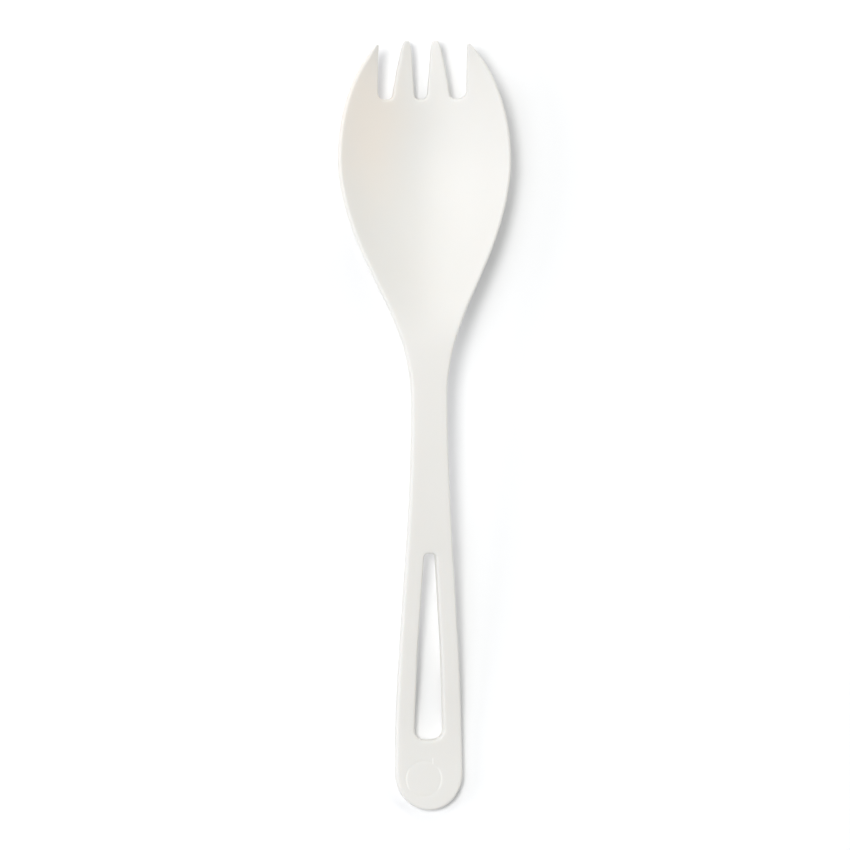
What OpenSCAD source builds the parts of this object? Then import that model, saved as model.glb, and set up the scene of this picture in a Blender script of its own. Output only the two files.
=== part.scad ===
// Spork: one injection-moulded piece, a spoon bowl cut into four tines at the front,
// a slim arched handle and a tapered slot that lightens the handle.
// It lies with the hollow up. X is across, Y runs from the handle end to the tines, Z is up.

/* [Overall] */
// Length from the handle end to the tips of the inner tines
spork_len = 152.4; // [140:0.1:170]

/* [Handle] */
// Width across the rounded handle end
handle_end_w = 13.3; // [11.5:0.1:16]
// Length of the rounded handle end
handle_end_len = 7.4; // [5.5:0.1:10]
// Thickness of the handle
handle_t = 2.5; // [1.8:0.1:3.5]
// Length of the flat foot under the handle end, where the spork rests
foot_len = 8; // [6:0.1:12]
// Width of the neck, the narrowest place
neck_w = 7.1; // [6:0.1:8.5]
// Length of the neck, where the width holds
neck_len = 3; // [1:0.1:8]
// Height of the handle's crest, to its top face
crest_h = 10.4; // [7:0.1:14]
// How far in front of the neck the crest stands
crest_ahead = 7.5; // [1:0.1:12]
// Share of the arch that bends up from the foot
foot_bend = 0.15; // [0.05:0.05:0.4]
// Share of the arch that bends over to the crest
crest_bend = 0.45; // [0.2:0.05:0.7]

/* [Slot] */
// Distance from the handle end to the slot
slot_from = 14.1; // [12.5:0.1:17]
// Length of the slot
slot_len = 37.2; // [25:0.1:42]
// Width of the slot at its wide end, near the handle end
slot_wide_w = 5.9; // [5:0.1:7]
// Width of the slot at its narrow end, near the neck
slot_narrow_w = 2.2; // [1.8:0.1:3.2]
// How far the slot's sides bulge out beyond straight
slot_belly = 0.25; // [0:0.05:0.5]
// Corner radius at the wide end
slot_wide_r = 2.1; // [1:0.1:2.5]
// Corner radius at the narrow end
slot_narrow_r = 0.8; // [0.3:0.1:1]

/* [Bowl] */
// Width of the bowl
bowl_w = 34.3; // [30:0.1:38]
// Length of the bowl, from the neck to the tips of the inner tines
bowl_len = 69.4; // [62:0.1:76]
// Distance from the bowl's widest place to the tips of the inner tines
bowl_front_len = 23.4; // [20:0.1:27]
// How far in front of the neck the hollow starts
hollow_ahead = 8; // [1:0.1:12]
// Distance from the bowl's lowest place to the tips of the inner tines
floor_back_len = 24; // [20:0.1:34]
// Height of the rim at the widest place
rim_h = 8.3; // [6:0.1:11]
// Height of the rim at the front, which the outer tips follow
front_rim_h = 8; // [5:0.1:10]
// Wall of the bowl
bowl_t = 1.6; // [1.2:0.1:2.2]
// Length over which the neck's thickness runs out into the bowl's wall
thin_out_len = 30; // [15:1:40]
// Share of the half width over which the bowl's bottom is round, before its sides run nearly straight
bowl_round = 0.6; // [0.2:0.02:1]

/* [Tines] */
// Length of the tines, from the roots of the gaps to the inner tips
tine_len = 11.5; // [8:0.1:14]
// How far the outer tips stop short of the inner tips
outer_tip_back = 0.75; // [0.5:0.05:1.5]
// Distance between the inner faces of the two outer tines
tine_span = 17.7; // [16.5:0.1:19]
// Width of an inner tine at its root
tine_root_w = 4.6; // [3.8:0.1:5]
// Width of an inner tine at its tip
tine_tip_w = 1.6; // [1.3:0.1:2.2]
// Width of the middle gap at its root
mid_gap_root_w = 2.5; // [2:0.1:3.6]
// Width of the middle gap at the tips
mid_gap_tip_w = 4.1; // [3.2:0.1:4.5]
// How far an inner tine's outer side bulges beyond straight
tine_belly = 0.12; // [0:0.02:0.4]
// Height of the bowl's middle line at the tips, which the inner tips follow
tip_h = 4.2; // [3:0.1:8]
// Thickness of the tines at their tips
tip_t = 1.3; // [1:0.1:1.8]
// Radius of the inner tine tips
tip_r = 0.75; // [0.3:0.05:0.8]
// Radius of the outer tine tips
outer_tip_r = 0.25; // [0.1:0.05:0.4]
// Width left at the blunt outer tips
outer_tip_w = 0.4; // [0.2:0.05:0.8]
// Corner radius of the outer gaps, beside the outer tines
outer_gap_r = 1.6; // [0.5:0.1:1.7]
// Corner radius of the gaps, beside the inner tines
inner_gap_r = 1; // [0.3:0.1:1.2]

/* [Edges] */
// Radius of the top edges
top_edge_r = 0.3; // [0.1:0.05:0.5]
// Radius of the bottom edges
bottom_edge_r = 0.2; // [0.1:0.05:0.4]
// Angle by which the walls lean in towards the top, to leave the mould
draft_angle = 5; // [0:0.5:8]

/* [Mould mark] */
// Radius of the round mark on top of the handle end
mark_r = 3.5; // [2:0.1:4]
// Width of the fine line that draws the round mark
mark_line_w = 0.3; // [0.2:0.05:0.6]
// Depth of the line
mark_depth = 0.1; // [0.05:0.01:0.3]
// Distance of the round mark's centre from the handle end
mark_at = 6.2; // [5:0.1:7]
// How far the round mark lies to the left of the middle
mark_left = 0.9; // [0:0.1:1.2]

/* [Hidden] */

plastic_colour = [0.93, 0.925, 0.9];
overrun = 1;
across_steps = 24;
end_steps = 8;
handle_steps = 16;
flare_steps = 20;
front_steps = 14;
arc_steps = 7;
mark_steps = 64;

// Places along the length, measured from the handle end
flare_from = spork_len - bowl_len;
neck_from = flare_from - neck_len;
crest_at = flare_from + crest_ahead;
hollow_from = flare_from + hollow_ahead;
bowl_at = spork_len - bowl_front_len;
floor_at = spork_len - floor_back_len;
root_at = spork_len - tine_len;
outer_tip_at = spork_len - outer_tip_back;

// The front of the outline is part of an ellipse through the outer tips
outer_tip_x = tine_span / 2 + outer_tip_w;
front_axis = (outer_tip_at - bowl_at) / sqrt(1 - pow(2 * outer_tip_x / bowl_w, 2));

// The bowl's outline flares from the neck to the widest place:
// each row is a share of the way and a share of the gain in width
flare_shares = [
    [0, 0], [0.08, 0.02], [0.2, 0.1], [0.35, 0.287],
    [0.5, 0.524], [0.65, 0.745], [0.8, 0.907], [0.92, 0.983], [1, 1]
];

// A smooth step from 0 to 1
function step01(s) = let (c = min(1, max(0, s))) c * c * (3 - 2 * c);

// A value between a and b, at a share s of the way
function mix(a, b, s) = a + (b - a) * s;

// A ramp from 0 to 1: it bends up over its first share, runs straight and levels out over its last share
function ramp01(s, first, last) =
    let (
        c = min(1, max(0, s)),
        pace = 1 / (1 - first / 2 - last / 2)
    )
    c < first ?
        pace * c * c / (2 * first) :
    c > 1 - last ?
        1 - pace * (1 - c) * (1 - c) / (2 * last) :
        pace * (c - first / 2);

// Rise of the hyperbola that shapes the bowl across, before it is brought to 1
hollow_rise = norm([1, bowl_round]) - bowl_round;

// The hyperbola, from 0 in the middle to 1 at the rim
function hollow_curve(share) = (norm([share, bowl_round]) - bowl_round) / hollow_rise;

// Its slope
function hollow_slope(share) = share / norm([share, bowl_round]) / hollow_rise;

// Slope of a table at its row i, taken from the rows beside it and level at both ends
function row_slope(t, i) =
    i == 0 || i == len(t) - 1 ? 0 : (t[i + 1][1] - t[i - 1][1]) / (t[i + 1][0] - t[i - 1][0]);

// Cubic between row i and the next row of a table
function row_cubic(t, i, s) =
    let (
        gap = t[i + 1][0] - t[i][0],
        u = (s - t[i][0]) / gap
    )
    mix(t[i][1], t[i + 1][1], u * u * (3 - 2 * u))
        + gap * u * (1 - u) * ((1 - u) * row_slope(t, i) - u * row_slope(t, i + 1));

// Smooth curve through the rows of a table of shares
function along_table(t, s, i = 0) =
    i >= len(t) - 2 || s <= t[i + 1][0] ? row_cubic(t, i, s) : along_table(t, s, i + 1);

// Half the width of the outline at a distance y from the handle end
function half_w(y) =
    y < handle_end_len ?
        handle_end_w / 2 * sqrt(1 - pow((handle_end_len - y) / handle_end_len, 2)) :
    y < neck_from ?
        mix(handle_end_w, neck_w, step01((y - handle_end_len) / (neck_from - handle_end_len))) / 2 :
    y < flare_from ?
        neck_w / 2 :
    y < bowl_at ?
        mix(neck_w, bowl_w, along_table(flare_shares, (y - flare_from) / (bowl_at - flare_from))) / 2 :
        bowl_w / 2 * sqrt(1 - pow((y - bowl_at) / front_axis, 2));

// Height of the top face along the edges: flat foot, arch to the crest, rim, front
function rim_z(y) =
    y < crest_at ?
        mix(handle_t, crest_h, ramp01((y - foot_len) / (crest_at - foot_len), foot_bend, crest_bend)) :
    y < bowl_at ?
        mix(crest_h, rim_h, step01((y - crest_at) / (bowl_at - crest_at))) :
        mix(rim_h, front_rim_h, pow((y - bowl_at) / bowl_front_len, 2));

// Height of the top face along the middle: as the edges, then down into the bowl and up to the tips
function floor_z(y) =
    y < hollow_from ?
        rim_z(y) :
    y < floor_at ?
        mix(rim_z(y), bowl_t, step01((y - hollow_from) / (floor_at - hollow_from))) :
        mix(bowl_t, tip_h, step01((y - floor_at) / floor_back_len));

// Thickness of the wall, square to its face
function wall_t(y) =
    y < bowl_at ?
        mix(handle_t, bowl_t, step01((y - flare_from) / thin_out_len)) :
        mix(bowl_t, tip_t, (y - bowl_at) / bowl_front_len);

// Share of the way from the middle to the outline
function out_share(x, y) = min(1, abs(x) / half_w(y));

function top_z(x, y) = mix(floor_z(y), rim_z(y), hollow_curve(out_share(x, y)));

// Upright thickness: the wall's thickness over the cosine of the slope across
function upright_t(x, y) =
    let (slope = (rim_z(y) - floor_z(y)) * hollow_slope(out_share(x, y)) / half_w(y))
    wall_t(y) * sqrt(1 + slope * slope);

function bottom_z(x, y) = top_z(x, y) - upright_t(x, y);

// Stations along the outline: round end, handle, neck, flare and front
stations = [
    for (i = [1 : end_steps]) handle_end_len * (1 - cos(90 * i / end_steps)),
    for (i = [1 : handle_steps]) mix(handle_end_len, neck_from, i / handle_steps),
    for (i = [0 : flare_steps - 1]) mix(flare_from, bowl_at, i / flare_steps),
    for (i = [0 : front_steps])
        bowl_at + front_axis * sin(i / front_steps * asin((spork_len + overrun - bowl_at) / front_axis))
];

function outline_point(i) = i < 0 ? [0, 0] : [half_w(stations[i]), stations[i]];

// Plan direction that points into the outline at station i
function inward(i) =
    let (
        last = len(stations) - 1,
        d = outline_point(min(i + 1, last)) - outline_point(i - 1)
    )
    i < 0 ? [0, 1] : [-d[1], d[0]] / norm(d);

// Edge levels from the top face to the bottom face: how far each lies inside the outline
function edge_inset(level, t) =
    let (lean = tan(draft_angle) * (t - top_edge_r - bottom_edge_r))
    level == 0 ? lean + top_edge_r :
    level == 1 ? lean + top_edge_r * (1 - cos(45)) :
    level == 2 ? lean :
    level == 3 ? 0 : bottom_edge_r;

// Point of the edge at station i and a level. Past the outline the share out is 1, so t is taken at the rim
function edge_point(i, level) =
    let (
        base = outline_point(i),
        t = upright_t(base[0] + (i < 0 ? 0 : overrun), max(base[1], stations[0])),
        p = base + edge_inset(level, t) * inward(i),
        y = max(p[1], stations[0]),
        high = top_z(p[0], y),
        low = bottom_z(p[0], y)
    )
    level == 0 ? [p[0], p[1], high] :
    level == 1 ? [p[0], p[1], high - top_edge_r * (1 - sin(45))] :
    level == 2 ? [p[0], p[1], high - top_edge_r] :
    level == 3 ? [p[0], p[1], low + bottom_edge_r] : [p[0], p[1], low];

// Row of points across the top or the bottom face, from the left edge to the right edge
function face_row(i, level) =
    let (edge = edge_point(i, level))
    [
        for (j = [0 : across_steps])
            let (x = edge[0] * (2 * j / across_steps - 1))
            [x, edge[1], level == 0 ? top_z(x, edge[1]) : bottom_z(x, edge[1])]
    ];

function mirrored(p) = [-p[0], p[1], p[2]];

function reversed(list) = [for (i = [len(list) - 1 : -1 : 0]) list[i]];

// Closed ring round the section at station i: top face, right edge, bottom face, left edge
function ring(i) = concat(
    face_row(i, 0),
    [for (level = [1 : 3]) edge_point(i, level)],
    reversed(face_row(i, 4)),
    [for (level = [3 : -1 : 1]) mirrored(edge_point(i, level))]
);

// The rings close on an upright row of five points at the handle end
ring_len = 2 * across_steps + 8;
end_column = [for (level = [0 : 4]) edge_point(-1, level)];

function column_index(j) =
    let (k = j % ring_len)
    k <= across_steps ? 0 :
    k <= across_steps + 4 ? k - across_steps :
    k <= 2 * across_steps + 4 ? 4 : ring_len - k;

function ring_index(i, j) = len(end_column) + i * ring_len + j % ring_len;

function index_at(i, j) = i < 0 ? column_index(j) : ring_index(i, j);

// Two triangles between neighbouring rings, or one where both first corners are the same point
function side_faces(i, j) =
    let (
        a = index_at(i - 1, j),
        b = index_at(i - 1, j + 1),
        c = index_at(i, j + 1),
        d = index_at(i, j)
    )
    a == b ? [[a, d, c]] : [[a, d, c], [a, c, b]];

// The last ring is closed by pairs of triangles across it and a fan at each edge
function cap_faces(i) =
    let (low_left = 2 * across_steps + 4)
    [
        for (j = [0 : across_steps - 1])
            each [
                [ring_index(i, j + 1), ring_index(i, j), ring_index(i, low_left - j)],
                [ring_index(i, j + 1), ring_index(i, low_left - j), ring_index(i, low_left - j - 1)]
            ],
        for (k = [0 : 2])
            each [
                [
                    ring_index(i, across_steps),
                    ring_index(i, across_steps + 4 - k),
                    ring_index(i, across_steps + 3 - k)
                ],
                [
                    ring_index(i, 0),
                    ring_index(i, low_left + 3 - k),
                    ring_index(i, low_left + 2 - k)
                ]
            ]
    ];

// The whole body before the gaps and the slot are cut
module blank() {
    last = len(stations) - 1;
    polyhedron(
        points = concat(end_column, [for (i = [0 : last]) each ring(i)]),
        faces = concat(
            [for (i = [0 : last], j = [0 : ring_len - 1]) each side_faces(i, j)],
            cap_faces(last)
        )
    );
}

function unit(v) = v / norm(v);

// Arc that rounds the corner b between its neighbours a and c, limited to half of the shorter side
function corner_arc(a, b, c, r) =
    let (
        u = unit(a - b),
        v = unit(c - b),
        half = acos(u * v) / 2,
        side = min(norm(a - b), norm(c - b)),
        fit_r = min(r, tan(half) * side / 2),
        centre = b + unit(u + v) * fit_r / sin(half),
        from = b + u * fit_r / tan(half) - centre,
        to = b + v * fit_r / tan(half) - centre,
        start = atan2(from[1], from[0]),
        turn = atan2(from[0] * to[1] - from[1] * to[0], from * to)
    )
    [
        for (k = [0 : arc_steps])
            centre + fit_r * [cos(start + turn * k / arc_steps), sin(start + turn * k / arc_steps)]
    ];

// Outline of a list of corners, each with x, y and its radius
function rounded_outline(corners) =
    let (n = len(corners), flat = [for (c = corners) [c[0], c[1]]])
    [
        for (i = [0 : n - 1])
            each corners[i][2] == 0 ?
                [flat[i]] :
                corner_arc(flat[(i + n - 1) % n], flat[i], flat[(i + 1) % n], corners[i][2])
    ];

function mirrored_corners(corners) = [for (c = reversed(corners)) [-c[0], c[1], c[2]]];

// Sides of the right inner tine: inner and outer, at the root and at the tip
gap_root_x = mid_gap_root_w / 2;
gap_tip_x = mid_gap_tip_w / 2;
tine_root_x = gap_root_x + tine_root_w;
tine_tip_x = gap_tip_x + tine_tip_w;

// Corners of the cut on the right of the middle, from the middle outwards, each with its radius
right_gap_corners = [
    [gap_root_x, root_at, inner_gap_r],
    [gap_tip_x, spork_len, tip_r],
    [tine_tip_x, spork_len, tip_r],
    [(tine_tip_x + tine_root_x) / 2 + tine_belly, (spork_len + root_at) / 2, tine_len],
    [tine_root_x, root_at, inner_gap_r],
    [tine_span / 2, root_at, outer_gap_r],
    [tine_span / 2, outer_tip_at, outer_tip_r],
    [bowl_w / 2, outer_tip_at, 0],
    [bowl_w / 2, spork_len + 2 * overrun, 0]
];

// Everything in front of the roots that isn't a tine
module tine_gaps() {
    translate([0, 0, -overrun])
        linear_extrude(max(rim_h, front_rim_h, tip_h) + 2 * overrun)
            polygon(rounded_outline(concat(mirrored_corners(right_gap_corners), right_gap_corners)));
}

// The slot widens towards the handle end, with slightly bulging sides
slot_to = slot_from + slot_len;
slot_mid_w = (slot_wide_w + slot_narrow_w) / 2 + 2 * slot_belly;
right_slot_corners = [
    [slot_wide_w / 2, slot_from, slot_wide_r],
    [slot_mid_w / 2, (slot_from + slot_to) / 2, slot_len],
    [slot_narrow_w / 2, slot_to, slot_narrow_r]
];

module handle_slot() {
    translate([0, 0, -overrun])
        linear_extrude(crest_h + 2 * overrun)
            polygon(rounded_outline(concat(mirrored_corners(right_slot_corners), right_slot_corners)));
}

// Fine round line sunk into the top of the handle end
module mould_mark() {
    translate([-mark_left, mark_at, handle_t - mark_depth])
        linear_extrude(mark_depth + overrun)
            difference() {
                circle(mark_r + mark_line_w / 2, $fn = mark_steps);
                circle(mark_r - mark_line_w / 2, $fn = mark_steps);
            }
}

module spork() {
    color(plastic_colour)
        translate([0, -spork_len / 2, 0])
            difference() {
                blank();
                tine_gaps();
                handle_slot();
                mould_mark();
            }
}

spork();
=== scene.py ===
import bpy
import numpy as np
from mathutils import Matrix, Vector
from mathutils.geometry import delaunay_2d_cdt


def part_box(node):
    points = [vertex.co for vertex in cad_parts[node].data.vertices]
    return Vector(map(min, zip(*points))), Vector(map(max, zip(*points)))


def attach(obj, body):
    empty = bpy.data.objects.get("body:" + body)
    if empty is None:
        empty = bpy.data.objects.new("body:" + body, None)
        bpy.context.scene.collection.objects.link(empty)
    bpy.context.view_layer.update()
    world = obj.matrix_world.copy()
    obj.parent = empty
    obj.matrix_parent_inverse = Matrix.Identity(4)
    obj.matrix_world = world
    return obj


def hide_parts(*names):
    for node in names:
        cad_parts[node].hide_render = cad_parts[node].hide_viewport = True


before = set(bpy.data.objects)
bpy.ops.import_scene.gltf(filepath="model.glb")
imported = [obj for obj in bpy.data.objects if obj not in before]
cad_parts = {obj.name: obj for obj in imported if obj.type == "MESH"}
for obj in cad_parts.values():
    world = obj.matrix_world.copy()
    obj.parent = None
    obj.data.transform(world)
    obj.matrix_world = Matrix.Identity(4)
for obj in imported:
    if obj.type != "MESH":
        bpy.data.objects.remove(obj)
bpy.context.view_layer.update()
sporkLow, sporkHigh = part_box("spork")

mm = 0.001  # one millimetre in metres: the settings below are in millimetres

# The spork's own sizes. Lengths along Y count from the handle end.
spork = {
    "length": (sporkHigh[1] - sporkLow[1]) / mm,
    "bowlWidth": (sporkHigh[0] - sporkLow[0]) / mm,
    "endWidth": 13.3,         # rounded handle end
    "endLength": 7.4,         # of the half ellipse that rounds it
    "footLength": 8.0,        # flat foot under the handle end
    "neckWidth": 7.1,
    "neckLength": 3.0,        # even stretch before the bowl flares
    "handleWall": 2.5,
    "crestHeight": 10.4,      # top of the arched handle
    "crestAhead": 7.5,        # how far in front of the neck the crest stands
    "archEases": (0.15, 0.45),  # shares of the arch that bend at the foot and at the crest
    "bowlLength": 69.4,       # neck to inner tips
    "bowlFront": 23.4,        # widest place to inner tips
    "hollowAhead": 8.0,       # where the hollow starts in front of the neck
    "floorBack": 24.0,        # lowest place to inner tips
    "rimHeight": 8.3,         # at the widest place
    "frontHeight": 8.0,       # rim at the front
    "bowlWall": 1.6,
    "thinOut": 30.0,          # the neck's thickness runs out into the bowl's wall
    "bowlRound": 0.6,         # share of the half width over which the bottom bends
    "tineLength": 11.5,
    "outerTipBack": 0.75,     # outer tips behind the inner ones
    "tineSpan": 17.7,         # between the inner faces of the outer tines
    "outerTipWidth": 0.4,
    "tineRootWidth": 4.6,
    "tineTipWidth": 1.6,      # where its sides would end without the point
    "midGapRoot": 2.5,        # width of the middle gap at the roots and at the tips
    "midGapTip": 4.1,
    "tineBelly": 0.12,        # how far an inner tine's outer side swells
    "tipHeight": 4.2,         # in the middle
    "tipWall": 1.3,
    "tipTaper": 1.7,          # length of each inner tine's pointed end
    "tipPoint": 1.02,         # its width at the very tip, before rounding
    "tipRadius": 0.75,
    "outerTipRadius": 0.25,
    "outerGapRadius": 1.6,
    "innerGapRadius": 1.0,
    # share of the way from the neck to the widest place, share of the widening that is done there
    "flare": [(0, 0), (0.08, 0.02), (0.2, 0.1), (0.35, 0.287), (0.5, 0.524),
              (0.65, 0.745), (0.8, 0.907), (0.92, 0.983), (1, 1)],
}

# The tapered slot in the handle
slot = {
    "start": 14.1,            # from the handle end
    "length": 37.2,
    "wideWidth": 5.9,
    "narrowWidth": 2.2,
    "belly": 0.25,            # how far its sides swell
    "wideRadius": 2.1,
    "narrowRadius": 0.8,
}

# Moulded edges: rounded above and below, with walls that lean a little
edge = {
    "topRadius": 0.45,
    "bottomRadius": 0.2,
    "draft": np.radians(2),
    "topSteps": 5,
    "bottomSteps": 3,
    "slopeReach": 0.3,        # how far inside the path the surface's slope is read
    "roomUsed": 0.7,          # share of the room inside a narrow place that its edges may take
    "roomWanted": 1.7,        # room that a full edge wants, in its own widths
    "evenings": 6,            # rounds that spread a narrow place's smaller edge along the path
}

# The fine round line on top of the handle end
mark = {
    "radius": 3.5,
    "fromEnd": 6.4,
    "left": 1.15,             # of the spork's middle line
    "depth": 0.03,
    "halfWidth": 0.2,         # of the groove
    "rings": (-2.4, -1.2, -0.5, 0.0, 0.5, 1.2, 2.4),  # rings of points across it, in half widths
    "steps": 120,             # points round each ring
}

# How finely the surfaces are divided
mesh = {
    "loopStep": 0.4,          # along the paths
    "arcSteps": 10,           # in a rounded corner
    "endSteps": 40,           # points in a quarter of the handle end
    "searchSteps": 4000,      # points tried for the outer tip's circle
    "cell": 0.55,             # side of the triangles inside
    "clear": 0.45,            # share of a cell kept free beside the paths
    "markClear": 0.4,         # and beside the mark
    "block": 400,             # points worked on at once
    "tiny": 1e-6,             # shorter than this counts as nothing
    "level": 1e-4,            # a point less far inwards than this counts as level
    "merge": 1e-7,            # corners nearer than this are one
}

neckAt = spork["length"] - spork["bowlLength"]
taperEnd = neckAt - spork["neckLength"]
crestAt = neckAt + spork["crestAhead"]
hollowAt = neckAt + spork["hollowAhead"]
bowlAt = spork["length"] - spork["bowlFront"]
floorAt = spork["length"] - spork["floorBack"]
rootAt = spork["length"] - spork["tineLength"]
outerTipAt = spork["length"] - spork["outerTipBack"]
outerTipX = spork["tineSpan"] / 2 + spork["outerTipWidth"]
frontAxis = (outerTipAt - bowlAt) / np.sqrt(1 - (2 * outerTipX / spork["bowlWidth"]) ** 2)


# Smooth step: 3s^2 - 2s^3 with s held between 0 and 1
def smoothStep(s):
    s = np.clip(s, 0, 1)
    return s * s * (3 - 2 * s)


# A share s of the way from a to b
def mix(a, b, s):
    return a + (b - a) * s


# Ramp from 0 to 1 that speeds up over the first share, is straight, and slows down over the last share
def easedRamp(s, first, last):
    s = np.clip(s, 0, 1)
    pace = 1 / (1 - first / 2 - last / 2)
    early, late = s ** 2 / (2 * first), (1 - s) ** 2 / (2 * last)
    return np.where(s < first, pace * early, np.where(s > 1 - last, 1 - pace * late, pace * (s - first / 2)))


# Hyperbola from 0 to 1: level in the middle, then nearly straight out to the rim
def hollowCurve(share):
    r = spork["bowlRound"]
    return (np.hypot(share, r) - r) / (np.hypot(1, r) - r)


# The slope of that hyperbola
def hollowSlope(share):
    r = spork["bowlRound"]
    return share / np.hypot(share, r) / (np.hypot(1, r) - r)


# Cubic through the rows of a table: each row's slope is taken from its two neighbours, level at the ends
def alongTable(table, s):
    t = np.array(table, float)
    slope = np.zeros(len(t))
    slope[1:-1] = (t[2:, 1] - t[:-2, 1]) / (t[2:, 0] - t[:-2, 0])
    i = np.clip(np.searchsorted(t[:, 0], s) - 1, 0, len(t) - 2)
    gap = t[i + 1, 0] - t[i, 0]
    u = (s - t[i, 0]) / gap
    bend = gap * u * (1 - u) * ((1 - u) * slope[i] - u * slope[i + 1])
    return mix(t[i, 1], t[i + 1, 1], smoothStep(u)) + bend


# Half the outline's width: half an ellipse, a smooth taper, the neck, the flare, then part of an ellipse
def halfWidth(y):
    y = np.asarray(y, float)
    endLength = spork["endLength"]
    end = spork["endWidth"] / 2 * np.sqrt(np.clip(1 - ((endLength - y) / endLength) ** 2, 0, 1))
    narrowed = smoothStep((y - endLength) / (taperEnd - endLength))
    taper = mix(spork["endWidth"], spork["neckWidth"], narrowed) / 2
    share = np.clip((y - neckAt) / (bowlAt - neckAt), 0, 1)
    flare = mix(spork["neckWidth"], spork["bowlWidth"], alongTable(spork["flare"], share)) / 2
    front = spork["bowlWidth"] / 2 * np.sqrt(np.clip(1 - ((y - bowlAt) / frontAxis) ** 2, 0, 1))
    return np.select([y < endLength, y < neckAt, y < bowlAt], [end, taper, flare], front)


# Height of the top along the edges: flat foot, arch to the crest, smooth fall to the rim, then a
# parabola to the tips
def rimHeight(y):
    climb = easedRamp((y - spork["footLength"]) / (crestAt - spork["footLength"]), *spork["archEases"])
    arch = mix(spork["handleWall"], spork["crestHeight"], climb)
    fall = mix(spork["crestHeight"], spork["rimHeight"], smoothStep((y - crestAt) / (bowlAt - crestAt)))
    ahead = np.maximum(y - bowlAt, 0) / spork["bowlFront"]
    tips = mix(spork["rimHeight"], spork["frontHeight"], ahead ** 2)
    return np.select([y < crestAt, y < bowlAt], [arch, fall], tips)


# Height of the top along the middle: as the edges, then smoothly down to the bowl's floor and up to the tips
def floorHeight(y):
    down = mix(rimHeight(y), spork["bowlWall"], smoothStep((y - hollowAt) / (floorAt - hollowAt)))
    up = mix(spork["bowlWall"], spork["tipHeight"], smoothStep((y - floorAt) / spork["floorBack"]))
    return np.where(y < floorAt, down, up)


# Wall: the handle's thickness runs out smoothly into the bowl's, then straight down to the tips'
def wallThickness(y):
    thin = mix(spork["handleWall"], spork["bowlWall"], smoothStep((y - neckAt) / spork["thinOut"]))
    tips = mix(spork["bowlWall"], spork["tipWall"], (y - bowlAt) / spork["bowlFront"])
    return np.where(y < bowlAt, thin, tips)


# Half the width again, but never under a hundredth of a millimetre, for the divisions below
def halfSpan(y):
    return np.maximum(halfWidth(y), 0.01)


# How far out a point lies: 0 in the middle, 1 at the outline
def outShare(x, y):
    return np.clip(np.abs(x) / halfSpan(y), 0, 1)


# Top of the spork: from the floor to the rim by the hollow's curve
def topHeight(x, y):
    return mix(floorHeight(y), rimHeight(y), hollowCurve(outShare(x, y)))


# Underside: the top less the wall's thickness over the cosine of the slope across
def bottomHeight(x, y):
    slope = (rimHeight(y) - floorHeight(y)) * hollowSlope(outShare(x, y)) / halfSpan(y)
    return topHeight(x, y) - wallThickness(y) * np.sqrt(1 + slope ** 2)


# A fine groove round the mould mark: a Gaussian of the distance from its circle
def markGroove(x, y):
    away = np.hypot(x + mark["left"], y - mark["fromEnd"]) - mark["radius"]
    return -mark["depth"] * np.exp(-(away / mark["halfWidth"]) ** 2)


# The top with the mark's groove in it
def markedTop(x, y):
    return topHeight(x, y) + markGroove(x, y)


# Arc of a given radius that rounds the corner b between its neighbours a and c
def cornerArc(a, b, c, radius, room):
    toA, toC = a - b, c - b
    toA, toC = toA / np.hypot(*toA), toC / np.hypot(*toC)
    half = np.arccos(toA @ toC) / 2
    radius = min(radius, np.tan(half) * room)
    middle = toA + toC
    centre = b + middle / np.hypot(*middle) * radius / np.sin(half)
    first = b + toA * radius / np.tan(half) - centre
    last = b + toC * radius / np.tan(half) - centre
    start = np.arctan2(first[1], first[0])
    turn = np.arctan2(first[0] * last[1] - first[1] * last[0], first @ last)
    angle = start + turn * np.linspace(0, 1, mesh["arcSteps"] + 1)
    return centre + radius * np.column_stack([np.cos(angle), np.sin(angle)])


# Path through corners (x, y, radius), the first and the last kept as they are. An arc may use half of a
# side that it shares with another arc, and nearly all of the first and last sides.
def roundedPath(corners):
    flat = np.array([c[:2] for c in corners], float)
    sides = np.hypot(*np.diff(flat, axis=0).T) / 2
    sides[[0, -1]] *= 1.98  # a hair under the whole side
    arcs = [cornerArc(flat[i - 1], flat[i], flat[i + 1], corners[i][2], min(sides[i - 1], sides[i]))
            for i in range(1, len(corners) - 1)]
    return np.vstack([flat[:1], *arcs, flat[-1:]])


# Splits every stretch of a path that is longer than the step into equal parts
def subdivided(path, step):
    lengths = np.hypot(*np.diff(path, axis=0).T)
    path = path[np.append(lengths > mesh["tiny"], True)]
    lengths = np.hypot(*np.diff(path, axis=0).T)
    parts = np.maximum(1, np.ceil(lengths / step).astype(int))
    which = np.repeat(np.arange(len(parts)), parts)
    inside = np.arange(parts.sum()) - np.repeat(np.cumsum(parts) - parts, parts)
    share = inside / parts[which]
    points = path[which] + (path[which + 1] - path[which]) * share[:, None]
    return np.vstack([points, path[-1:]])


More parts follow.
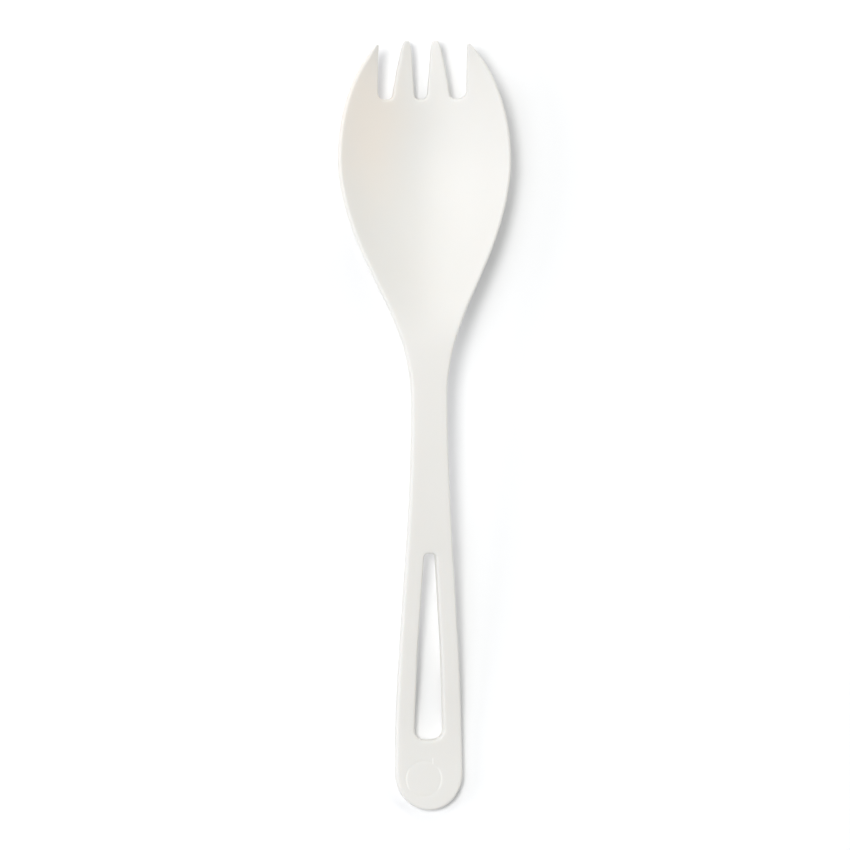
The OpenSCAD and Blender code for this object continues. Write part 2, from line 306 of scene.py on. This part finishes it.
# Right half of the outline: round the handle end, up the side to the outer tip, then in and out of the gaps
def rightOutline():
    turn = np.linspace(0, np.pi / 2, mesh["endSteps"])
    endY = spork["endLength"] * (1 - np.cos(turn))
    pastTip = outerTipAt + 1
    sideY = np.append(endY, np.arange(spork["endLength"], pastTip, mesh["loopStep"])[1:])
    side = np.column_stack([halfWidth(sideY), sideY])
    tipX, radius = spork["tineSpan"] / 2, spork["outerTipRadius"]
    # The tip's circle touches the outer tine's inner face and the outline: its centre is where
    # the outline moved in by the radius crosses the line one radius outside the inner face
    fineY = np.linspace(bowlAt, pastTip, mesh["searchSteps"])
    fine = np.column_stack([halfWidth(fineY), fineY])
    along = np.gradient(fine, axis=0)
    along /= np.hypot(*along.T)[:, None]
    moved = fine + radius * np.column_stack([-along[:, 1], along[:, 0]])
    at = np.argmin(np.abs(moved[:, 0] - tipX - radius))
    centre, touch = moved[at], fine[at]
    start = np.arctan2(*(touch - centre)[::-1])
    angle = np.linspace(start, np.pi, mesh["arcSteps"] + 1)
    tip = centre + radius * np.column_stack([np.cos(angle), np.sin(angle)])
    rootIn, tipIn = spork["midGapRoot"] / 2, spork["midGapTip"] / 2
    rootOut, tipOut = rootIn + spork["tineRootWidth"], tipIn + spork["tineTipWidth"]
    middleOut, middleAt = (rootOut + tipOut) / 2 + spork["tineBelly"], (rootAt + spork["length"]) / 2
    # Shoulders on the tine's straight sides, where the pointed end starts
    share = spork["tipTaper"] / spork["tineLength"]
    shoulderAt = spork["length"] - spork["tipTaper"]
    shoulderOut = tipOut + (rootOut - tipOut + 2 * spork["tineBelly"]) * share
    shoulderIn = tipIn + (rootIn - tipIn) * share
    point, halfPoint = (tipIn + tipOut) / 2, spork["tipPoint"] / 2
    gaps = roundedPath([
        (*tip[-1], 0),
        (tipX, rootAt, spork["outerGapRadius"]),
        (rootOut, rootAt, spork["innerGapRadius"]),
        (middleOut, middleAt, spork["tineLength"]),
        (shoulderOut, shoulderAt, spork["tineLength"]),
        (point + halfPoint, spork["length"], spork["tipRadius"]),
        (point - halfPoint, spork["length"], spork["tipRadius"]),
        (shoulderIn, shoulderAt, spork["tineLength"]),
        (rootIn, rootAt, spork["innerGapRadius"]),
        (0, rootAt, 0),
    ])
    justBelow = touch[1] - spork["outerTipRadius"] / 5
    path = np.vstack([side[side[:, 1] < justBelow], tip, gaps[1:]])
    return subdivided(path, mesh["loopStep"])


# The right half of a path and its mirror image, as one closed path
def mirroredLoop(right):
    left = right[::-1] * [-1, 1]
    return np.vstack([right, left[1:-1]])


# The slot, clockwise, so that the plastic lies on the left of the path as it does along the outline
def slotLoop():
    wide, narrow = slot["wideWidth"] / 2, slot["narrowWidth"] / 2
    top = slot["start"] + slot["length"]
    right = roundedPath([
        (0, top, 0),
        (narrow, top, slot["narrowRadius"]),
        ((wide + narrow) / 2 + slot["belly"], (slot["start"] + top) / 2, slot["length"]),
        (wide, slot["start"], slot["wideRadius"]),
        (0, slot["start"], 0),
    ])
    return mirroredLoop(subdivided(right, mesh["loopStep"]))


# Directions into the plastic, square to a closed path that has it on the left
def inwardOf(loop):
    along = np.roll(loop, -1, axis=0) - np.roll(loop, 1, axis=0)
    along /= np.hypot(*along.T)[:, None]
    return np.column_stack([-along[:, 1], along[:, 0]])


# Radius of the largest circle that touches each point from inside: |d|^2 / (2 n.d) over all other points
def roomInside(loop, inward, everyPoint):
    apart = everyPoint[None, :, :] - loop[:, None, :]
    ahead = np.einsum("ijk,ik->ij", apart, inward)
    square = np.einsum("ijk,ijk->ij", apart, apart)
    counted = ahead > mesh["level"]
    return np.where(counted, square / np.where(counted, 2 * ahead, 1), np.inf).min(axis=1)


# Height of a surface at the path and its fall per length inwards, both from two points inside
def heightAndFall(surface, loop, inward):
    reach = edge["slopeReach"]
    zNear, zFar = surface(*(loop + reach * inward).T), surface(*(loop + 2 * reach * inward).T)
    fall = (zNear - zFar) / reach
    return zNear + reach * fall, fall


# The edge's profile carried along a closed path: an arc into the top, a leaning wall, an arc into the
# underside. Each arc touches its wall and the sloping surface: centre one radius from both.
def edgeLevels(loop, inward, scale):
    top, topFall = heightAndFall(topHeight, loop, inward)
    low, lowFall = heightAndFall(bottomHeight, loop, inward)
    topR, lowR = edge["topRadius"] * scale, edge["bottomRadius"] * scale
    lean = np.tan(edge["draft"]) * (top - low - topR - lowR) * scale
    topLength, lowLength = np.hypot(1, topFall), np.hypot(1, lowFall)
    centreIn = lean + topR
    centreZ = top - topFall * centreIn - topR * topLength
    levels = []
    for share in np.linspace(1, 0, edge["topSteps"] + 1):
        turn = share * (np.pi / 2 + np.arctan(topFall))
        levels.append((centreIn - topR * np.cos(turn), centreZ + topR * np.sin(turn)))
    lowZ = low - lowFall * lowR + lowR * lowLength
    for share in np.linspace(0, 1, edge["bottomSteps"] + 1):
        turn = share * (np.pi / 2 - np.arctan(lowFall))
        levels.append((lowR - lowR * np.cos(turn), lowZ - lowR * np.sin(turn)))
    return [np.column_stack([loop + inward * (d[:, None]), z]) for d, z in levels]


# Blocks of points small enough to be set against a whole path at once
def inBlocks(points):
    return np.array_split(points, max(1, len(points) // mesh["block"]))


# Even-odd rule: how many of the path's stretches cross a line to the right of each point
def insideLoop(points, loop):
    a, b = loop, np.roll(loop, -1, axis=0)
    perRise = (b[:, 0] - a[:, 0]) / np.where(b[:, 1] == a[:, 1], 1, b[:, 1] - a[:, 1])
    found = []
    for block in inBlocks(points):
        x, y = block[:, :1], block[:, 1:]
        straddles = (a[:, 1] > y) != (b[:, 1] > y)
        found.append(np.sum(straddles & (x < a[:, 0] + (y - a[:, 1]) * perRise), axis=1) % 2 == 1)
    return np.concatenate(found)


# Distance from each point to the nearest of the others
def distanceTo(points, others):
    return np.concatenate([np.hypot(block[:, :1] - others[:, 0], block[:, 1:] - others[:, 1]).min(axis=1)
                           for block in inBlocks(points)])


# A triangular lattice of points, kept where it lies well inside the paths
def latticeInside(loops, keepAway):
    cell = mesh["cell"]
    half = spork["bowlWidth"] / 2
    rows = np.arange(0, spork["length"], cell * np.sqrt(3) / 2)
    columns = np.arange(-half, half + cell, cell)
    x, y = np.meshgrid(columns, rows)
    x = x + (np.arange(len(rows)) % 2)[:, None] * cell / 2  # every other row moved by half a cell
    points = np.column_stack([x.ravel(), y.ravel()])
    inside = insideLoop(points, loops[0]) & ~insideLoop(points, loops[1])
    points = points[inside]
    return points[distanceTo(points, np.vstack(loops)) > keepAway]


# Rings of points along the mould mark, so that its groove has a shape of its own
def markPoints():
    angle = np.linspace(0, 2 * np.pi, mark["steps"], endpoint=False)
    radii = mark["radius"] + mark["halfWidth"] * np.array(mark["rings"])
    radius, turn = np.meshgrid(radii, angle, indexing="ij")
    return np.column_stack([(radius * np.cos(turn)).ravel() - mark["left"],
                            (radius * np.sin(turn)).ravel() + mark["fromEnd"]])


# Fills the space between closed paths with triangles through the given inner points. A triangle with all
# three corners on the slot's path bridges the slot, which bulges outwards all round, and is left out.
def filled(loops, inner):
    flat = np.vstack([*loops, inner])
    starts = np.cumsum([0] + [len(loop) for loop in loops])
    edges = [(int(s + i), int(s + (i + 1) % n)) for s, n in zip(starts, map(len, loops)) for i in range(n)]
    insideOnly = 1  # the fill's own number for triangles inside the paths
    found = delaunay_2d_cdt([Vector(p) for p in flat], edges, [], insideOnly, mesh["merge"])
    points, faces = np.array([v[:] for v in found[0]]), found[2]
    if len(points) != len(flat):
        raise RuntimeError("the fill made or lost points: an inner path crosses itself")
    order = np.array([o[0] for o in found[3]])
    triangles = order[np.array(faces)]
    overSlot = np.all((triangles >= starts[1]) & (triangles < starts[2]), axis=1)
    return triangles[~overSlot]


# Share of a full edge that fits at each point of a path: less where the plastic is narrow, and evened
# out along the path so that the edge narrows gently
def edgeScale(loop, inward, everyPoint):
    full = edge["topRadius"] + np.tan(edge["draft"]) * spork["handleWall"]
    room = roomInside(loop, inward, everyPoint)
    scale = np.minimum(1, edge["roomUsed"] * room / (edge["roomWanted"] * full))
    for _ in range(edge["evenings"]):
        beside = (np.roll(scale, 1) + np.roll(scale, -1)) / 2
        scale = np.minimum(scale, (scale + beside) / 2)
    return scale


# Squares between the levels of an edge, each level a row of corner numbers
def wallFaces(ring):
    a, b = ring[:-1], ring[1:]
    quads = np.stack([a, b, np.roll(b, -1, axis=1), np.roll(a, -1, axis=1)], axis=-1)
    return quads.reshape(-1, 4).tolist()


# The shell: an edge along each path, then the top and the underside filled between the edges' first and
# last levels, so that they share their corners
def buildSpork():
    loops = [mirroredLoop(rightOutline()), slotLoop()]
    everyPoint = np.vstack(loops)
    vertices, faces, made, rings, base = [], [], [], [], 0
    for loop in loops:
        inward = inwardOf(loop)
        levels = edgeLevels(loop, inward, edgeScale(loop, inward, everyPoint))
        ring = base + np.arange(len(levels) * len(loop)).reshape(len(levels), len(loop))
        base += ring.size
        made.append(levels)
        rings.append(ring)
        vertices.append(np.vstack(levels))
        faces += wallFaces(ring)
    print("outline points", len(everyPoint))

    for side, level, height in [("top", 0, markedTop), ("underside", -1, bottomHeight)]:
        paths = [levels[level][:, :2] for levels in made]
        inner = latticeInside(paths, mesh["clear"] * mesh["cell"])
        if side == "top":
            fine = markPoints()
            clear = distanceTo(inner, fine) > mesh["markClear"] * mesh["cell"]
            inner = np.vstack([inner[clear], fine])
        known = np.concatenate([ring[level] for ring in rings] + [base + np.arange(len(inner))])
        base += len(inner)
        vertices.append(np.column_stack([inner, height(*inner.T)]))
        triangles = known[filled(paths, inner)]
        faces += (triangles if side == "top" else triangles[:, ::-1]).tolist()
        print("surface", side, len(triangles), "triangles")

    points = np.vstack(vertices)
    points[:, 1] -= spork["length"] / 2
    data = bpy.data.meshes.new("sporkMesh")
    data.from_pydata((points * mm).tolist(), [], faces)
    data.update()
    data.shade_smooth()
    piece = bpy.data.objects.new("sporkShell", data)
    bpy.context.scene.collection.objects.link(piece)
    return piece


# Satin off-white bioplastic: faint cloudy mottling, painted warm light on one side of the bowl, a very fine
# mould grain
plastic = {
    "base": (0.745, 0.729, 0.688, 1),
    "clear": (0.765, 0.753, 0.72, 1),
    # painted warm light: the warm tint of light thrown from the right onto the bowl's left inner wall
    "warmLightPaint": (0.798, 0.747, 0.682, 1),
    "warmLightPaintPlace": (-10.7, 60.0, 4.0),    # centre, mm
    "warmLightPaintReach": (11.5, 21.5, 40.0),    # where it has faded out, mm from the centre
    "warmLightPaintFull": 0.85,                   # share of the way in from there at which it is full
    "warmLightPaintDrift": 0.25,                  # how far noise moves its edge, as a share of the reach
    "line": (0.84, 0.827, 0.79, 1),      # the mark's ring and tick: a painted highlight where their fine relief catches the light
    "lineHalf": 0.17,                    # half its width, mm
    "lineFade": (1.3, 0.5),              # half widths from its middle where it starts and where it is full
    "lineFrom": (0.7, 0.97),             # the same for the ring's sides, as shares of its radius
    "tickPlace": (1.8, 3.5),             # from the mark's centre, mm
    "tickHalf": (0.13, 0.6),
    "tickFade": (1.2, 0.8),              # at the tick's ends
    "topOnly": 2.0,                      # height above which the mark shows, mm
    "cloudScale": 90,
    "cloudDetail": 4,
    "grainScale": 2600,
    "grainDetail": 2,
    "grain": 0.06,
    "grainDepth": 0.05,                  # mm
    "roughness": 0.55,
    "ior": 1.46,
    "scatter": 0.15,
    "scatterTint": (1.0, 0.85, 0.7),
    "scatterReach": 0.0025,              # metres
}


# Puts a number, a colour or another node's output into a socket
def feed(material, socket, value):
    if isinstance(value, bpy.types.NodeSocket):
        material.node_tree.links.new(value, socket)
    else:
        socket.default_value = value


# One step of arithmetic in a material
def worked(material, kind, *values):
    step = material.node_tree.nodes.new("ShaderNodeMath")
    step.operation = kind
    for at, value in enumerate(values):
        feed(material, step.inputs[at], value)
    return step.outputs["Value"]


# Smooth step from 0 at the first limit to 1 at the second
def eased(material, value, start, end):
    step = material.node_tree.nodes.new("ShaderNodeMapRange")
    step.interpolation_type = "SMOOTHSTEP"
    step.inputs["From Min"].default_value = min(start, end)
    step.inputs["From Max"].default_value = max(start, end)
    step.inputs["To Min"].default_value = 0.0 if start < end else 1.0
    step.inputs["To Max"].default_value = 1.0 if start < end else 0.0
    feed(material, step.inputs["Value"], value)
    return step.outputs["Result"]


# A line where a value comes near its middle: |value - middle| eased between two shares of a half width
def lineAcross(material, value, middle, half, fade):
    off = worked(material, "ABSOLUTE", worked(material, "SUBTRACT", value, middle * mm))
    return eased(material, off, half * fade[0] * mm, half * fade[1] * mm)


# The mark's painted highlights: a ring, the line of points one radius from the centre, that shows only left
# and right of the centre where its relief faces the side lights, and a short upright tick, both on the upper
# side
def markLines(material, place):
    parts = material.node_tree.nodes.new("ShaderNodeSeparateXYZ")
    feed(material, parts.inputs["Vector"], place)
    x = worked(material, "ADD", parts.outputs["X"], mark["left"] * mm)
    y = worked(material, "ADD", parts.outputs["Y"], (spork["length"] / 2 - mark["fromEnd"]) * mm)
    squares = worked(material, "ADD", worked(material, "MULTIPLY", x, x), worked(material, "MULTIPLY", y, y))
    away = worked(material, "SQRT", squares)
    ring = lineAcross(material, away, mark["radius"], plastic["lineHalf"], plastic["lineFade"])
    start, full = (share * mark["radius"] * mm for share in plastic["lineFrom"])
    sides = eased(material, worked(material, "ABSOLUTE", x), start, full)
    tickX, tickY = plastic["tickPlace"]
    halfX, halfY = plastic["tickHalf"]
    tickAcross = lineAcross(material, x, tickX, halfX, plastic["lineFade"])
    tickAlong = lineAcross(material, y, tickY, halfY, plastic["tickFade"])
    arcs = worked(material, "MULTIPLY", ring, sides)
    tick = worked(material, "MULTIPLY", tickAcross, tickAlong)
    above = worked(material, "GREATER_THAN", parts.outputs["Z"], plastic["topOnly"] * mm)
    return worked(material, "MULTIPLY", worked(material, "MAXIMUM", arcs, tick), above)


# Soft noise through the plastic, for its clouds and its grain
def noise(material, place, scale, detail):
    node = material.node_tree.nodes.new("ShaderNodeTexNoise")
    node.inputs["Scale"].default_value = scale
    node.inputs["Detail"].default_value = detail
    feed(material, node.inputs["Vector"], place)
    return node


# Blends two colours by a share: each of the three is fixed or comes from another node
def colourMix(material, share, first, second, kind="MIX"):
    blend = material.node_tree.nodes.new("ShaderNodeMix")
    blend.data_type = "RGBA"
    blend.blend_type = kind
    feed(material, blend.inputs["Factor"], share)
    feed(material, blend.inputs["A"], first)
    feed(material, blend.inputs["B"], second)
    return blend.outputs["Result"]


# The painted warm light: an ellipsoid that fades by a smooth step from its centre, its edge moved by soft
# noise
def warmLightPaintShare(material, place, cloud):
    centred = material.node_tree.nodes.new("ShaderNodeMapping")
    for axis in range(3):
        reach = plastic["warmLightPaintReach"][axis] * mm
        centred.inputs["Scale"].default_value[axis] = 1 / reach
        centred.inputs["Location"].default_value[axis] = -plastic["warmLightPaintPlace"][axis] * mm / reach
    feed(material, centred.inputs["Vector"], place)
    drifted = colourMix(material, plastic["warmLightPaintDrift"], centred.outputs["Vector"], cloud.outputs["Color"],
                        "LINEAR_LIGHT")
    ball = material.node_tree.nodes.new("ShaderNodeTexGradient")
    ball.gradient_type = "SPHERICAL"
    feed(material, ball.inputs["Vector"], drifted)
    return eased(material, ball.outputs["Fac"], 0.0, plastic["warmLightPaintFull"])


# Clouds, then the painted warm light, then the mark's painted highlights over them in colour, and the grain
# as a bump
def plasticMaterial():
    material = bpy.data.materials.new("satinBioplastic")
    material.use_nodes = True
    nodes = material.node_tree.nodes
    place = nodes.new("ShaderNodeTexCoord").outputs["Object"]
    cloud = noise(material, place, plastic["cloudScale"], plastic["cloudDetail"])
    colour = colourMix(material, cloud.outputs["Fac"], plastic["base"], plastic["clear"])
    colour = colourMix(material, warmLightPaintShare(material, place, cloud), colour, plastic["warmLightPaint"])
    colour = colourMix(material, markLines(material, place), colour, plastic["line"])
    grain = noise(material, place, plastic["grainScale"], plastic["grainDetail"])
    bump = nodes.new("ShaderNodeBump")
    bump.inputs["Strength"].default_value = plastic["grain"]
    bump.inputs["Distance"].default_value = plastic["grainDepth"] * mm
    feed(material, bump.inputs["Height"], grain.outputs["Fac"])
    shader = nodes["Principled BSDF"]
    feed(material, shader.inputs["Base Color"], colour)
    feed(material, shader.inputs["Normal"], bump.outputs["Normal"])
    shader.inputs["Roughness"].default_value = plastic["roughness"]
    shader.inputs["IOR"].default_value = plastic["ior"]
    shader.inputs["Subsurface Weight"].default_value = plastic["scatter"]
    shader.inputs["Subsurface Radius"].default_value = plastic["scatterTint"]
    shader.inputs["Subsurface Scale"].default_value = plastic["scatterReach"]
    return material


# Camera, floor and lights
studio = {
    "distance": 1.5,               # camera to target, metres
    "pixelsPerMm": 5.069,          # at the target
    "frame": 850,                  # pixels
    "sensor": 36,
    "clip": (0.01, 50),
    "turn": (-2.6, -7.8, -0.77),   # degrees about X, Y and Z
    "target": (-0.354, 0.45, 5.0),  # mm
    "floorSize": 6.0,              # metres
    "floorColour": (0.95, 0.95, 0.95, 1),
    "world": 0.292,                # strength of the light from all round
    "air": (0.95, 0.98, 1),
    # name, direction towards it, distance and diameter in metres, power in watts, colour
    "lights": [
        ("keyLight", (-0.358, 0.17, 1.0), 2.0, 0.55, 17.3, (1, 1, 0.99)),
        ("sideLight", (-0.7, 0.0, 1.0), 2.0, 0.8, 5.8, (0.94, 0.95, 1)),
        ("lowLeft", (-2.4, 0.0, 1.0), 2.0, 1.0, 13.2, (0.92, 0.93, 1)),
        ("backLight", (0.0, 1.5, 1.0), 2.0, 1.0, 6.5, (1, 1, 1)),
        ("rightFill", (2.0, 0.0, 1.0), 2.0, 1.0, 8.2, (1, 0.99, 0.97)),
        ("cornerFill", (1.0, 0.7, 1.0), 2.0, 1.0, 2.7, (1, 1, 1)),
    ],
}


# The camera looks at the target from straight above, turned by the three angles
def makeCamera():
    data = bpy.data.cameras.new("photoView")
    camera = bpy.data.objects.new("photoView", data)
    bpy.context.scene.collection.objects.link(camera)
    x, y, z = np.radians(studio["turn"])
    turn = Matrix.Rotation(z, 3, "Z") @ Matrix.Rotation(y, 3, "Y") @ Matrix.Rotation(x, 3, "X")
    stand = Vector(studio["target"]) * mm + turn @ Vector((0, 0, studio["distance"]))
    camera.matrix_world = Matrix.Translation(stand) @ turn.to_4x4()
    data.sensor_width = studio["sensor"]
    data.lens = studio["pixelsPerMm"] / mm * studio["distance"] / studio["frame"] * studio["sensor"]
    data.clip_start, data.clip_end = studio["clip"]
    bpy.context.scene.camera = camera


# A round soft light that faces the object's middle
def makeArea(name, direction, distance, size, power, colour):
    data = bpy.data.lights.new(name, "AREA")
    data.shape, data.size = "DISK", size
    data.energy, data.color = power, colour
    light = bpy.data.objects.new(name, data)
    bpy.context.scene.collection.objects.link(light)
    away = Vector(direction).normalized()
    facing = away.to_track_quat("Z", "Y").to_matrix().to_4x4()
    light.matrix_world = Matrix.Translation(away * distance) @ facing


def makeFloor():
    data = bpy.data.meshes.new("floorMesh")
    half = studio["floorSize"] / 2
    corners = [(-half, -half, 0), (half, -half, 0), (half, half, 0), (-half, half, 0)]
    data.from_pydata(corners, [], [(0, 1, 2, 3)])
    floor = bpy.data.objects.new("studioFloor", data)
    bpy.context.scene.collection.objects.link(floor)
    material = bpy.data.materials.new("paleFloor")
    material.use_nodes = True
    shader = material.node_tree.nodes["Principled BSDF"]
    shader.inputs["Base Color"].default_value = studio["floorColour"]
    shader.inputs["Roughness"].default_value = 1
    shader.inputs["Specular IOR Level"].default_value = 0
    data.materials.append(material)


def makeLights():
    for light in studio["lights"]:
        makeArea(*light)
    world = bpy.data.worlds.new("studioAir")
    world.use_nodes = True
    background = world.node_tree.nodes["Background"]
    background.inputs["Color"].default_value = (*studio["air"], 1)
    background.inputs["Strength"].default_value = studio["world"]
    bpy.context.scene.world = world
    bpy.context.scene.view_settings.view_transform = "Standard"


shell = buildSpork()
shell.data.materials.append(plasticMaterial())
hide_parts("spork")
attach(shell, "root")
print("spork made", len(shell.data.polygons), "faces")

makeCamera()
makeFloor()
makeLights()
print("studio made")
